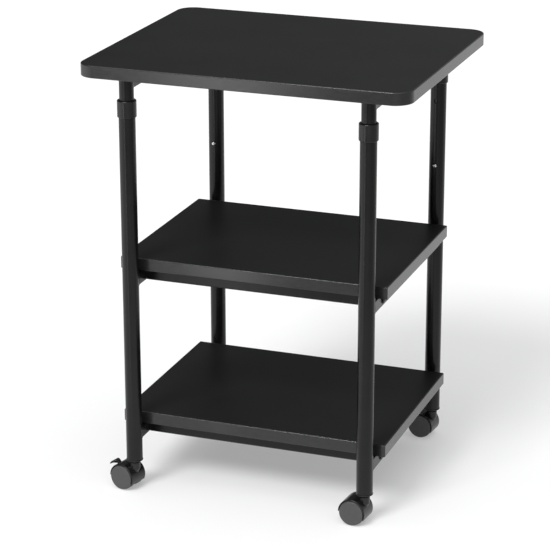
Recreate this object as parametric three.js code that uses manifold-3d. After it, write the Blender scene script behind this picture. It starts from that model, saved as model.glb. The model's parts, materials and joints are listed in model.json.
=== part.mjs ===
// Mobile printer stand: a height-adjustable top board on telescopic legs, two fixed shelves on
// square-tube rails, and four twin-wheel swivel casters, two of them with a foot brake.
// Millimetres, +Z up. The origin is on the floor under the centre of the top board.
// +X is the stand's right, +Y its rear.

import * as THREE from 'three';
import { mergeVertices } from 'three/addons/utils/BufferGeometryUtils.js';
import Module from 'manifold-3d';

const wasm = await Module();
wasm.setup();

// ---------------------------------------------------------------- driving dimensions

const topWidth = 510;
const topDepth = 420;
const topCornerRadius = 28;
const shelfWidth = 424;
const shelfDepth = 315;
const shelfCornerRadius = 2;
const boardThickness = 19;
const bandThickness = 1.2;

const topHeight = 678; // upper face of the top board in the lower height position
const midShelfHeight = 371; // upper face of the middle shelf
const bottomShelfHeight = 121; // upper face of the bottom shelf

const legSpacingX = 374;
const legSpacingY = 355;
const legBottom = 48; // underside of the socket flange under each leg

const legRadius = 12.5; // outer, fixed tube
const legBore = 11.35;
const upperRadius = 11; // inner, sliding tube
const upperBore = 9.8;
const legTop = 617;
const upperBottom = 440;

const railHeight = 20;
const railWidth = 20;
const topRailWidth = 15;
const railWall = 1.2;
const crossRailSetback = 18; // from the shelf's front or rear edge to the cross rail's face

const collarRadius = 14.5;
const collarBottom = 597;
const collarTop = 623;
const collarChamfer = 1.5;

const heightStep = 104; // distance between the two button holes
const buttonHeight = 465;
const buttonRadius = 3;
const buttonHoleRadius = 3.5;
const buttonReach = 15.4; // from the leg's axis to the crown of the button
const clipBendHeight = 449;
const clipFront = 8.7; // from the leg's axis to the front of the spring
const clipBend = 6.8; // outer radius of the U
const clipLeaf = 0.8;
const clipAboveButton = 5;
const clipBelowButton = 3; // where the rear leaf ends

const socketFlange = 1.7; // thickness
const socketOverhang = 0.5; // of the flange beyond the leg tube
const socketDepth = 30;
const stemInSocket = 28;
const stemShoulder = 5.5; // radius

const casterTurn = -5; // degrees, the way the casters point
const casterTurnFrontLeft = -13;
const casterTrail = 14.4; // from the swivel axis back to the axle
const wheelRadius = 20;
const wheelInner = 6.4; // from the caster's centre plane to a wheel's inner face
const wheelOuter = 19;
const axleRadius = 3;
const hoodTop = 45;
const hoodRadius = 21.6;
const hoodCavityRadius = 20.5;
const hoodHalfWidth = 17;
const webHalfWidth = 6;
const hoodFrontAngle = -25; // degrees below level, where the hood's rim ends in front
const bossRadius = 8.5;
const bossFoot = 4; // radius at the boss's lower end
const bossDepth = 21;
const bossCone = 11; // depth at which the boss starts to narrow
const stemPocket = 10; // depth of the bore for the stem
const stemRadius = 4;
const brakePivot = { x: -9, z: 9 }; // from the axle
const leverWidth = 6;
const leverSlotWidth = 6.8;
const pedalWidth = 13.6;
const barrelRadius = 3.2;
const pivotPinRadius = 1.5;
const pivotHoleRadius = 1.9;

const gap = 0.3; // between faces that touch
const runningGap = 0.35; // round a shaft in its bore

const tubeSegments = 24;
const wheelSegments = 24;
const smallSegments = 16;

// ---------------------------------------------------------------- materials

const finish = (color, roughness, metalness = 0) =>
  new THREE.MeshStandardMaterial({ color, roughness, metalness, flatShading: true });
const laminate = finish(0x1b1b1c, 0.5);
const band = finish(0x2a2a2b, 0.45);
const coatedSteel = finish(0x161617, 0.35, 0.3);
const zincSteel = finish(0xb8babc, 0.3, 1);
const blackPlastic = finish(0x1d1d1e, 0.45);
const wheelPlastic = finish(0x2b2b2c, 0.5);

// ---------------------------------------------------------------- solids

// A closed three.js geometry as a manifold solid, without the triangles that collapse on an axis.
function toSolid(geometry) {
  const bare = geometry.clone();
  bare.deleteAttribute('normal');
  bare.deleteAttribute('uv');
  const merged = mergeVertices(bare, 1e-4);
  const index = merged.index.array;
  const triangles = [];
  for (let i = 0; i < index.length; i += 3) {
    const [a, b, c] = index.slice(i, i + 3);
    if (a !== b && b !== c && c !== a) triangles.push(a, b, c);
  }
  return new wasm.Manifold(
    new wasm.Mesh({
      numProp: 3,
      vertProperties: merged.attributes.position.array,
      triVerts: new Uint32Array(triangles),
    }),
  );
}

function toGeometry(solid) {
  const mesh = solid.getMesh();
  const geometry = new THREE.BufferGeometry();
  geometry.setAttribute('position', new THREE.BufferAttribute(mesh.vertProperties, 3));
  geometry.setIndex(new THREE.BufferAttribute(mesh.triVerts, 1));
  geometry.computeVertexNormals();
  return geometry;
}

function box(low, high) {
  const size = high.map((value, axis) => value - low[axis]);
  const geometry = new THREE.BoxGeometry(...size);
  geometry.translate(...low.map((value, axis) => value + size[axis] / 2));
  return toSolid(geometry);
}

// A turned solid about the Z axis from [radius, height] points, anticlockwise.
function turned(profile, segments = tubeSegments) {
  const points = profile.map(([radius, height]) => new THREE.Vector2(radius, height));
  const geometry = new THREE.LatheGeometry(points, segments);
  geometry.rotateX(Math.PI / 2);
  return toSolid(geometry);
}

function rod(radius, low, high, segments = tubeSegments) {
  return turned([[0, low], [radius, low], [radius, high], [0, high]], segments);
}

// A turned solid about the Y axis, with the first vertex half a facet round, so that it lies on a flat.
function turnedAcross(profile, segments) {
  const points = profile.map(([radius, along]) => new THREE.Vector2(radius, along));
  return toSolid(new THREE.LatheGeometry(points, segments, Math.PI / segments));
}

function rodAcross(radius, low, high, segments = smallSegments) {
  return turnedAcross([[0, low], [radius, low], [radius, high], [0, high]], segments);
}

function flatShape(points) {
  return new THREE.Shape(points.map(([x, y]) => new THREE.Vector2(x, y)));
}

// A side view in X and Z, extruded to a width across Y that is centred on the XZ plane.
function sideSolid(shape, width) {
  const settings = { depth: width, bevelEnabled: false, curveSegments: 10 };
  const geometry = new THREE.ExtrudeGeometry(shape, settings);
  geometry.rotateX(Math.PI / 2);
  geometry.translate(0, width / 2, 0);
  return toSolid(geometry);
}

function roundedRectangle(width, depth, radius) {
  const x = width / 2;
  const y = depth / 2;
  const shape = new THREE.Shape();
  shape.moveTo(x, radius - y);
  shape.absarc(x - radius, y - radius, radius, 0, Math.PI / 2);
  shape.absarc(radius - x, y - radius, radius, Math.PI / 2, Math.PI);
  shape.absarc(radius - x, radius - y, radius, Math.PI, 1.5 * Math.PI);
  shape.absarc(x - radius, radius - y, radius, 1.5 * Math.PI, 2 * Math.PI);
  return shape;
}

function plateSolid(shape, low, high, cornerSteps) {
  const geometry = new THREE.ExtrudeGeometry(shape, {
    depth: high - low,
    bevelEnabled: false,
    curveSegments: cornerSteps,
  });
  geometry.translate(0, 0, low);
  return toSolid(geometry);
}

// ---------------------------------------------------------------- scene graph helpers

const stand = new THREE.Group();

const corners = [
  { name: 'front_left', x: -1, y: -1, turn: casterTurnFrontLeft, brake: true },
  { name: 'front_right', x: 1, y: -1, turn: casterTurn, brake: false },
  { name: 'rear_left', x: -1, y: 1, turn: casterTurn, brake: false },
  { name: 'rear_right', x: 1, y: 1, turn: casterTurn, brake: true },
];

function addPart(name, solid, material, parent = stand) {
  const mesh = new THREE.Mesh(toGeometry(solid), material);
  mesh.name = name;
  parent.add(mesh);
  return mesh;
}

// ---------------------------------------------------------------- boards

function addBoard(name, width, depth, cornerRadius, upperFace) {
  const low = upperFace - boardThickness;
  const ring = roundedRectangle(width, depth, cornerRadius);
  ring.holes.push(
    roundedRectangle(
      width - 2 * bandThickness,
      depth - 2 * bandThickness,
      Math.max(cornerRadius - bandThickness, 0.5),
    ),
  );
  const inset = bandThickness + gap;
  const coreRadius = Math.max(cornerRadius - inset, 0.4);
  const core = roundedRectangle(width - 2 * inset, depth - 2 * inset, coreRadius);
  const cornerSteps = cornerRadius > 10 ? 8 : 2;
  addPart(`${name}_board`, plateSolid(core, low, upperFace, cornerSteps), laminate);
  addPart(`${name}_edge_band`, plateSolid(ring, low, upperFace, cornerSteps), band);
}

// ---------------------------------------------------------------- rails

function hollowBar(low, high, openAxis) {
  const innerLow = low.map((value, axis) => (axis === openAxis ? value - 1 : value + railWall));
  const innerHigh = high.map((value, axis) => (axis === openAxis ? value + 1 : value - railWall));
  return box(low, high).subtract(box(innerLow, innerHigh));
}

// A front-to-rear rail whose ends are shaped to the round tubes that it is welded between.
function addSideRail(name, x, width, upperFace, tubeRadius) {
  const y = legSpacingY / 2;
  const under = upperFace - railHeight;
  let rail = hollowBar([x - width / 2, -y, under], [x + width / 2, y, upperFace], 1);
  for (const end of [-y, y]) {
    const saddle = rod(tubeRadius + runningGap, under - 1, upperFace + 1);
    rail = rail.subtract(saddle.translate([x, end, 0]));
  }
  // The saddle cuts leave slivers beyond the tubes' centres, so only the span between the tubes stays.
  const clear = y - 1;
  const span = box([x - width, -clear, under - 1], [x + width, clear, upperFace + 1]);
  addPart(name, rail.intersect(span), coatedSteel);
}

function addCrossRail(name, side, upperFace) {
  const reach = legSpacingX / 2 - railWidth / 2 - gap;
  const outerFace = shelfDepth / 2 - crossRailSetback;
  const faces = [side * outerFace, side * (outerFace - railWidth)].sort((a, b) => a - b);
  addPart(
    name,
    hollowBar([-reach, faces[0], upperFace - railHeight], [reach, faces[1], upperFace], 0),
    coatedSteel,
  );
}

function addShelf(name, height) {
  addBoard(`${name}_shelf`, shelfWidth, shelfDepth, shelfCornerRadius, height);
  const railTop = height - boardThickness - gap;
  addSideRail(`${name}_rail_left`, -legSpacingX / 2, railWidth, railTop, legRadius);
  addSideRail(`${name}_rail_right`, legSpacingX / 2, railWidth, railTop, legRadius);
  addCrossRail(`${name}_rail_front`, -1, railTop);
  addCrossRail(`${name}_rail_rear`, 1, railTop);
}

// ---------------------------------------------------------------- telescopic legs

function tube(radius, bore, low, high) {
  return turned([[bore, low], [radius, low], [radius, high], [bore, high], [bore, low]]);
}

// Holes are drilled through the wall on the local +Y side, which each leg turns towards the other leg.
function drilled(solid, heights) {
  let result = solid;
  for (const height of heights) {
    const drill = rodAcross(buttonHoleRadius, upperBore / 2, collarRadius + 1);
    result = result.subtract(drill.translate([0, 0, height]));
  }
  return result;
}

function collar() {
  const shoulder = collarChamfer;
  return turned([
    [legRadius + runningGap, collarBottom],
    [collarRadius - shoulder, collarBottom],
    [collarRadius, collarBottom + shoulder],
    [collarRadius, collarTop - shoulder],
    [collarRadius - shoulder, collarTop],
    [upperRadius + runningGap, collarTop],
    [upperRadius + runningGap, legTop + gap],
    [legRadius + runningGap, legTop + gap],
    [legRadius + runningGap, collarBottom],
  ]);
}

// A U-shaped leaf spring inside the upper tube, with the button on its front leaf.
function snapClip() {
  const centre = clipFront - clipBend;
  const rear = centre - clipBend;
  const frontTop = buttonHeight + clipAboveButton;
  const rearTop = buttonHeight - clipBelowButton;
  const shape = new THREE.Shape();
  shape.moveTo(clipFront, frontTop);
  shape.lineTo(clipFront, clipBendHeight);
  shape.absarc(centre, clipBendHeight, clipBend, 0, Math.PI, true);
  shape.lineTo(rear, rearTop);
  shape.lineTo(rear + clipLeaf, rearTop);
  shape.lineTo(rear + clipLeaf, clipBendHeight);
  shape.absarc(centre, clipBendHeight, clipBend - clipLeaf, Math.PI, 2 * Math.PI, false);
  shape.lineTo(clipFront - clipLeaf, frontTop);
  const spring = sideSolid(shape, 2 * buttonRadius).rotate([0, 0, 90]);
  const crown = buttonReach;
  const foot = clipFront - clipLeaf / 2;
  const button = turnedAcross(
    [
      [0, foot],
      [buttonRadius, foot],
      [buttonRadius, crown - 1.6],
      [0.85 * buttonRadius, crown - 0.7],
      [0.5 * buttonRadius, crown - 0.1],
      [0, crown],
    ],
    smallSegments,
  );
  return spring.add(button.translate([0, 0, buttonHeight]));
}

function socket() {
  const bore = stemRadius + runningGap;
  const plug = legBore - runningGap;
  const flangeTop = legBottom + socketFlange;
  return turned([
    [bore, legBottom],
    [legRadius + socketOverhang, legBottom],
    [legRadius + socketOverhang, flangeTop],
    [plug, flangeTop],
    [plug, legBottom + socketDepth],
    [bore, legBottom + socketDepth],
    [bore, legBottom],
  ]);
}

function stem() {
  const foot = hoodTop - stemPocket + 1;
  const tip = legBottom + stemInSocket;
  return turned(
    [
      [0, foot],
      [stemRadius, foot],
      [stemRadius, hoodTop + 0.4],
      [stemShoulder, hoodTop + 0.4],
      [stemShoulder, legBottom - gap],
      [stemRadius, legBottom - gap],
      [stemRadius, tip - 1],
      [0, tip],
    ],
    smallSegments,
  );
}

function addLeg({ name, x, y }) {
  const leg = new THREE.Group();
  leg.position.set((x * legSpacingX) / 2, (y * legSpacingY) / 2, 0);
  leg.rotation.z = y > 0 ? Math.PI : 0;
  stand.add(leg);
  const tubeBottom = legBottom + socketFlange + gap;
  const legTube = drilled(tube(legRadius, legBore, tubeBottom, legTop), [
    buttonHeight,
    buttonHeight + heightStep,
  ]);
  const upperTop = topHeight - boardThickness - gap;
  const upperTube = drilled(tube(upperRadius, upperBore, upperBottom, upperTop), [buttonHeight]);
  addPart(`leg_tube_${name}`, legTube, coatedSteel, leg);
  addPart(`upper_tube_${name}`, upperTube, coatedSteel, leg);
  addPart(`collar_${name}`, collar(), blackPlastic, leg);
  addPart(`snap_clip_${name}`, snapClip(), zincSteel, leg);
  addPart(`leg_socket_${name}`, socket(), blackPlastic, leg);
  addPart(`caster_stem_${name}`, stem(), zincSteel, leg);
}

// ---------------------------------------------------------------- casters
// In a caster's own frame the swivel axis is Z, the axle runs along Y and the wheels trail to -X.

function hoodOutline() {
  const frontEnd = THREE.MathUtils.degToRad(hoodFrontAngle);
  const hub = axleRadius + 3; // half the width of the web under the axle
  const shape = new THREE.Shape();
  shape.moveTo(hoodRadius * Math.cos(frontEnd), hoodRadius * Math.sin(frontEnd));
  shape.absarc(0, 0, hoodRadius, frontEnd, Math.PI, false);
  shape.lineTo(-hub, -hub);
  shape.lineTo(hub, -hub);
  return shape;
}

const leverSlot = [
  [-10, 4.5],
  [-5.2, 4.8],
  [-4.6, 9],
  [-7, 14],
  [-13, 26],
  [-40, 26],
  [-40, -9],
];

function hood(brake) {
  const axle = [-casterTrail, 0, wheelRadius];
  const boss = turned([
    [0, hoodTop - bossDepth],
    [bossFoot, hoodTop - bossDepth],
    [bossRadius, hoodTop - bossCone],
    [bossRadius, hoodTop - 0.8],
    [bossRadius - 0.8, hoodTop],
    [0, hoodTop],
  ]);
  let body = sideSolid(hoodOutline(), 2 * hoodHalfWidth).translate(axle).add(boss);
  for (const side of [-1, 1]) {
    const reach = [side * webHalfWidth, side * (hoodHalfWidth + 5)].sort((a, b) => a - b);
    body = body.subtract(rodAcross(hoodCavityRadius, ...reach, 2 * smallSegments).translate(axle));
  }
  const axleHole = rodAcross(axleRadius + runningGap, -hoodHalfWidth, hoodHalfWidth);
  body = body.subtract(axleHole.translate(axle));
  const pocketFloor = hoodTop - stemPocket;
  body = body.subtract(rod(stemRadius + runningGap, pocketFloor, hoodTop + 1, smallSegments));
  if (brake) {
    body = body.subtract(sideSolid(flatShape(leverSlot), leverSlotWidth).translate(axle));
    const pinHole = rodAcross(pivotHoleRadius, -webHalfWidth - 1, webHalfWidth + 1);
    body = body.subtract(pinHole.translate([axle[0] + brakePivot.x, 0, axle[2] + brakePivot.z]));
  }
  return body;
}

function wheel() {
  const tread = wheelRadius / Math.cos(Math.PI / wheelSegments); // the flats lie at the wheel's radius
  const bore = axleRadius + runningGap;
  return turnedAcross(
    [
      [0, wheelOuter - 3],
      [bore, wheelOuter - 3],
      [bore, wheelInner],
      [tread - 0.8, wheelInner],
      [tread, wheelInner + 1],
      [tread, wheelOuter - 2.8],
      [tread - 0.6, wheelOuter - 1.4],
      [tread - 2.4, wheelOuter - 0.5],
      [0, wheelOuter],
    ],
    wheelSegments,
  );
}

function brakeLever() {
  const arm = flatShape([
    [-10.6, 6.3],
    [-7.2, 11.6],
    [-14.2, 17.6],
    [-17.4, 20],
    [-20, 20.6],
    [-20, 14.8],
    [-16.6, 12.6],
  ]);
  const pedal = flatShape([
    [-19.4, 20.6],
    [-22.6, 20],
    [-26.2, 17.8],
    [-29.8, 13.8],
    [-30.4, 12.3],
    [-29, 12.1],
    [-25, 14.2],
    [-19.4, 15.2],
  ]);
  const pinReach = webHalfWidth - 0.2;
  const barrel = rodAcross(barrelRadius, -leverWidth / 2, leverWidth / 2);
  const pin = rodAcross(pivotPinRadius, -pinReach, pinReach);
  const pivot = [brakePivot.x, 0, brakePivot.z];
  const arms = sideSolid(arm, leverWidth).add(sideSolid(pedal, pedalWidth));
  const lever = arms.add(barrel.add(pin).translate(pivot));
  return lever.translate([-casterTrail, 0, wheelRadius]);
}

function addCaster({ name, x, y, turn, brake }) {
  const caster = new THREE.Group();
  caster.position.set((x * legSpacingX) / 2, (y * legSpacingY) / 2, 0);
  caster.rotation.z = THREE.MathUtils.degToRad(turn);
  stand.add(caster);
  addPart(`caster_hood_${name}`, hood(brake), blackPlastic, caster);
  const axleReach = wheelOuter - 3.5;
  const axle = rodAcross(axleRadius, -axleReach, axleReach).translate([-casterTrail, 0, wheelRadius]);
  addPart(`caster_axle_${name}`, axle, zincSteel, caster);
  for (const [side, facing] of [['near', Math.PI], ['far', 0]]) {
    const mesh = addPart(`caster_wheel_${name}_${side}`, wheel(), wheelPlastic, caster);
    mesh.position.set(-casterTrail, 0, wheelRadius);
    mesh.rotation.z = facing;
  }
  if (brake) addPart(`brake_lever_${name}`, brakeLever(), blackPlastic, caster);
}

// ---------------------------------------------------------------- assembly

addBoard('top', topWidth, topDepth, topCornerRadius, topHeight);
const topRailFace = topHeight - boardThickness - gap;
addSideRail('top_rail_left', -legSpacingX / 2, topRailWidth, topRailFace, upperRadius);
addSideRail('top_rail_right', legSpacingX / 2, topRailWidth, topRailFace, upperRadius);
addShelf('mid', midShelfHeight);
addShelf('bottom', bottomShelfHeight);
corners.forEach(addLeg);
corners.forEach(addCaster);

export default stand;
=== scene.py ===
import json
import math

import bmesh
import bpy
from mathutils import Euler, Matrix, Vector


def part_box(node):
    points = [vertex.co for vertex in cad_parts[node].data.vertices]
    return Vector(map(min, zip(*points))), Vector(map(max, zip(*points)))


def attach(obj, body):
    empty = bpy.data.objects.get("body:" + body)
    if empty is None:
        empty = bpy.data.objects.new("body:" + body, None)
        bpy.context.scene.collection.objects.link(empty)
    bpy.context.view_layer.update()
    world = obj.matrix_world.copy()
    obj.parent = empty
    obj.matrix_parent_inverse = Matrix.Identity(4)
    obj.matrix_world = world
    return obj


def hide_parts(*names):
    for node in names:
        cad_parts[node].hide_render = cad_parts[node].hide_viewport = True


# Looks for the mobile printer stand: every CAD node is replaced by a finer mesh of the same size and
# place, with eased edges, and small fasteners and welds are added. Lengths below are in millimetres.

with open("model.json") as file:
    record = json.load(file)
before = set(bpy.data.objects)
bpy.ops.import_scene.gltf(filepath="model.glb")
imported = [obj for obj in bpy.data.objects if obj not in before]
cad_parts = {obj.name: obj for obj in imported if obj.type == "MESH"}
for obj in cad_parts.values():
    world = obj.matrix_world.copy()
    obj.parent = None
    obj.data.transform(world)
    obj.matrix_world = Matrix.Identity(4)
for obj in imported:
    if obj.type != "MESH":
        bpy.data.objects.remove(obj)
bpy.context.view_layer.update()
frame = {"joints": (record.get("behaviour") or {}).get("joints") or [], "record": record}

MM = 0.001
CORNERS = ("front_left", "front_right", "rear_left", "rear_right")
BODY_OF = {
    node: body
    for body, nodes in frame["record"]["behaviour"]["bodies"].items()
    for node in nodes
}
JOINTS = {joint["name"]: joint for joint in frame["joints"]}

# ---------------------------------------------------------------- finish sizes

BAND_THICKNESS = 1.8
BAND_SEAM = 0.06
BAND_ROUND = 1.5
LAMINATE_ROUND = 0.12
TOP_CORNER = 28
SHELF_CORNER = 2
TUBE_WALL = 1.15
UPPER_WALL = 1.2
TUBE_EASE = 0.3
RAIL_WALL = 1.2
RAIL_CORNER = 2.2
HOLE_RADIUS = 3.5
HOLE_EASE = 0.35
ROUND_STEPS = 4
REACH_SHARE = 0.85  # the most of a side that one corner's arc may take up
TUBE_SEGMENTS = 72
TURNED_SEGMENTS = 64
SMALL_SEGMENTS = 32  # pins, stems, barrels and buttons
HUB_SEGMENTS = 48
WHEEL_SEGMENTS = 96
SMOOTH_ANGLE = math.radians(32)


# ---------------------------------------------------------------- mesh helpers


def ease(points, closed=True):
    """An outline from (a, b, radius) points, with each corner of a radius over 0 turned into an arc."""
    made = []
    count = len(points)
    for i, (a, b, radius) in enumerate(points):
        here = Vector((a, b))
        if radius <= 0 or (not closed and i in (0, count - 1)):
            made.append((a, b))
            continue
        before = Vector(points[i - 1][:2]) - here
        after = Vector(points[(i + 1) % count][:2]) - here
        half = before.angle(after) / 2
        reach = min(radius / math.tan(half), before.length * REACH_SHARE, after.length * REACH_SHARE)
        centre = here + (before.normalized() + after.normalized()).normalized() * (
            reach / math.cos(half)
        )
        start = here + before.normalized() * reach - centre
        sweep = start.angle_signed(here + after.normalized() * reach - centre)
        for step in range(ROUND_STEPS + 1):
            spoke = start.copy()
            spoke.rotate(Matrix.Rotation(-sweep * step / ROUND_STEPS, 2))
            made.append(tuple(centre + spoke))
    return made


def skin(bm, loops, closed=False, caps=True):
    """Faces between loops of equally many vertices, and over the first and last loop."""
    count = len(loops[0])
    pairs = list(zip(loops, loops[1:]))
    if closed:
        pairs.append((loops[-1], loops[0]))
    for low, high in pairs:
        for i in range(count):
            j = (i + 1) % count
            bm.faces.new((low[i], low[j], high[j], high[i]))
    if caps and not closed:
        bm.faces.new(loops[0][::-1])
        bm.faces.new(loops[-1])


def turned(profile, segments=TURNED_SEGMENTS, closed=False):
    """A bmesh turned about Z from (radius, height) points in millimetres, from axis to axis or closed."""
    bm = bmesh.new()
    rings = []
    for radius, height in profile:
        if radius < 1e-6:
            rings.append([bm.verts.new((0, 0, height * MM))])
            continue
        ring = []
        for i in range(segments):
            turn = 2 * math.pi * i / segments
            at = (radius * math.cos(turn) * MM, radius * math.sin(turn) * MM, height * MM)
            ring.append(bm.verts.new(at))
        rings.append(ring)
    pairs = list(zip(rings, rings[1:]))
    if closed:
        pairs.append((rings[-1], rings[0]))
    for low, high in pairs:
        for i in range(segments):
            j = (i + 1) % segments
            corners = [low[i % len(low)], low[j % len(low)], high[j % len(high)], high[i % len(high)]]
            unique = list(dict.fromkeys(corners))
            if len(unique) > 2:
                bm.faces.new(unique)
    return bm


def turned_sector(profile, start, end, segments):
    """A closed bmesh from a closed (radius, along) outline turned about Z from one angle to another."""
    bm = bmesh.new()
    loops = []
    for step in range(segments + 1):
        turn = start + (end - start) * step / segments
        across, up = math.cos(turn), math.sin(turn)
        loops.append([bm.verts.new((r * across * MM, r * up * MM, a * MM)) for r, a in profile])
    skin(bm, loops)
    return bm


def prism(outline, low, high):
    """A bmesh from a flat outline in X and Y, from one height to another."""
    bm = bmesh.new()
    loops = [[bm.verts.new((x * MM, y * MM, z * MM)) for x, y in outline] for z in (low, high)]
    skin(bm, loops)
    return bm


def finish_mesh(bm, name):
    """A named mesh with its faces turned outwards."""
    bmesh.ops.remove_doubles(bm, verts=bm.verts, dist=1e-7)
    bmesh.ops.recalc_face_normals(bm, faces=bm.faces)
    mesh = bpy.data.meshes.new(name)
    bm.to_mesh(mesh)
    bm.free()
    return mesh


def new_object(name, bm, place=Matrix.Identity(4)):
    """An object at the origin, with its place in its mesh, as the CAD nodes have."""
    bmesh.ops.transform(bm, matrix=place, verts=bm.verts)
    obj = bpy.data.objects.new(name, finish_mesh(bm, name))
    bpy.context.scene.collection.objects.link(obj)
    return obj


def apply_modifiers(obj):
    """The modified shape becomes the mesh, and no modifier is left."""
    graph = bpy.context.evaluated_depsgraph_get()
    mesh = bpy.data.meshes.new_from_object(obj.evaluated_get(graph))
    old = obj.data
    obj.modifiers.clear()
    obj.data = mesh
    bpy.data.meshes.remove(old)
    mesh.name = obj.name


def combine(obj, other, operation):
    """Joins or cuts obj with another object, which is used up."""
    modifier = obj.modifiers.new("combine", "BOOLEAN")
    modifier.operation = operation
    modifier.solver = "EXACT"
    modifier.object = other
    bpy.context.view_layer.update()
    apply_modifiers(obj)
    mesh = other.data
    bpy.data.objects.remove(other)
    bpy.data.meshes.remove(mesh)


def dress(obj, slot, body):
    """Shading, material and body of a finished piece. Flat faces stay flat beside eased edges."""
    obj.data.shade_smooth()
    obj.data.set_sharp_from_angle(angle=SMOOTH_ANGLE)
    modifier = obj.modifiers.new("flatten", "WEIGHTED_NORMAL")
    modifier.keep_sharp = True
    apply_modifiers(obj)
    mesh = obj.data
    mesh.materials.clear()
    mesh.materials.append(MATERIALS[slot])
    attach(obj, body)
    return obj


def stand_in(obj, slot, node):
    """obj takes the place of one CAD node, on that node's body."""
    dress(obj, slot, BODY_OF[node])
    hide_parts(node)
    return obj


# ---------------------------------------------------------------- materials


class Nodes:
    """A small helper that adds and links the nodes of one material."""

    def __init__(self, name):
        self.material = bpy.data.materials.new(name)
        self.material.use_nodes = True
        self.tree = self.material.node_tree
        self.shader = self.tree.nodes["Principled BSDF"]
        self.place = self.tree.nodes.new("ShaderNodeTexCoord").outputs["Object"]

    def add(self, kind, inputs=(), **settings):
        node = self.tree.nodes.new(kind)
        for key, value in settings.items():
            setattr(node, key, value)
        for key, value in dict(inputs).items():
            if isinstance(value, bpy.types.NodeSocket):
                self.tree.links.new(value, node.inputs[key])
            else:
                node.inputs[key].default_value = value
        return node

    def stretched(self, scale):
        node = self.add("ShaderNodeMapping", {"Vector": self.place, "Scale": scale})
        return node.outputs["Vector"]

    def noise(self, scale, detail=3.0, roughness=0.5, place=None):
        inputs = {
            "Vector": place or self.place,
            "Scale": scale,
            "Detail": detail,
            "Roughness": roughness,
        }
        return self.add("ShaderNodeTexNoise", inputs).outputs["Fac"]

    def between(self, fac, low, high, start=0.3, end=0.7):
        inputs = {
            "Value": fac,
            "From Min": start,
            "From Max": end,
            "To Min": low,
            "To Max": high,
        }
        return self.add("ShaderNodeMapRange", inputs).outputs["Result"]

    def greys(self, fac, dark, light):
        return self.blend(fac, (dark,) * 3, (light,) * 3)

    def blend(self, fac, dark, light):
        inputs = {"Factor": fac, "A": (*dark, 1), "B": (*light, 1)}
        node = self.add("ShaderNodeMix", data_type="RGBA")
        for key, value in inputs.items():
            socket = next(s for s in node.inputs if s.name == key and s.enabled)
            if isinstance(value, bpy.types.NodeSocket):
                self.tree.links.new(value, socket)
            else:
                socket.default_value = value
        return next(s for s in node.outputs if s.enabled)

    def maths(self, operation, a, b):
        return self.add("ShaderNodeMath", {0: a, 1: b}, operation=operation).outputs[0]

    def plus(self, a, b, weight):
        return self.maths("ADD", a, self.maths("MULTIPLY", b, weight))

    def bump(self, height, strength, distance):
        inputs = {"Height": height, "Strength": strength, "Distance": distance * MM}
        return self.add("ShaderNodeBump", inputs).outputs["Normal"]

    def finish(self, colour, roughness, normal, **fixed):
        links = self.tree.links
        links.new(colour, self.shader.inputs["Base Color"])
        links.new(roughness, self.shader.inputs["Roughness"])
        links.new(normal, self.shader.inputs["Normal"])
        for key, value in fixed.items():
            self.shader.inputs[key.replace("_", " ")].default_value = value
        return self.material


def laminate_material():
    """Black melamine: fine pores drawn out along X, and faint cloudy marks in the sheen."""
    n = Nodes("board_laminate")
    pores = n.noise(420.0, 4.0, 0.6, n.stretched((0.16, 1.0, 1.0)))
    grain = n.noise(2600.0, 2.0, 0.5)
    clouds = n.noise(9.0, 4.0, 0.55)
    marks = n.between(n.plus(clouds, pores, 0.5), 0, 1, 0.55, 0.95)
    colour = n.greys(marks, 0.007, 0.0095)
    roughness = n.between(n.plus(clouds, pores, 0.6), 0.38, 0.44, 0.5, 1.1)
    normal = n.bump(n.plus(pores, grain, 0.6), 0.22, 0.05)
    return n.finish(colour, roughness, normal, IOR=1.42)


def band_material():
    """Black ABS edge band with a fine hammered sheen."""
    n = Nodes("edge_band")
    streaks = n.noise(260.0, 3.0, 0.5, n.stretched((0.35, 0.35, 1.0)))
    grain = n.noise(1900.0, 2.0, 0.5)
    colour = n.greys(n.between(streaks, 0, 1), 0.018, 0.023)
    roughness = n.between(streaks, 0.13, 0.19)
    normal = n.bump(n.plus(streaks, grain, 0.7), 0.07, 0.05)
    return n.finish(colour, roughness, normal, IOR=1.45)


def coat_material():
    """Black powder coat: orange peel about a millimetre across under a semi-gloss skin."""
    n = Nodes("powder_coat")
    peel = n.noise(900.0, 2.0, 0.45)
    speckle = n.noise(3200.0, 2.0, 0.5)
    wear = n.noise(28.0, 5.0, 0.6)
    colour = n.greys(n.between(wear, 0, 1), 0.004, 0.007)
    roughness = n.between(n.plus(wear, speckle, 0.4), 0.2, 0.28, 0.5, 0.9)
    normal = n.bump(n.plus(peel, speckle, 0.35), 0.12, 0.06)
    return n.finish(colour, roughness, normal, IOR=1.36)


def plastic_material():
    """Black moulded plastic with a fine spark-eroded grain."""
    n = Nodes("moulded_plastic")
    grain = n.noise(2400.0, 3.0, 0.55)
    flow = n.noise(60.0, 3.0, 0.5)
    colour = n.greys(n.between(flow, 0, 1), 0.007, 0.012)
    roughness = n.between(n.plus(flow, grain, 0.3), 0.2, 0.27, 0.45, 0.8)
    normal = n.bump(grain, 0.08, 0.04)
    return n.finish(colour, roughness, normal, IOR=1.42)


def wheel_material():
    """Dark grey nylon with a fine grain and light scuffs."""
    n = Nodes("wheel_plastic")
    grain = n.noise(1800.0, 3.0, 0.55)
    scuffs = n.noise(190.0, 5.0, 0.65)
    colour = n.greys(n.between(scuffs, 0, 1), 0.048, 0.062)
    roughness = n.between(n.plus(scuffs, grain, 0.3), 0.4, 0.54, 0.45, 0.85)
    normal = n.bump(n.plus(grain, scuffs, 0.5), 0.22, 0.05)
    return n.finish(colour, roughness, normal, IOR=1.5)


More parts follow.
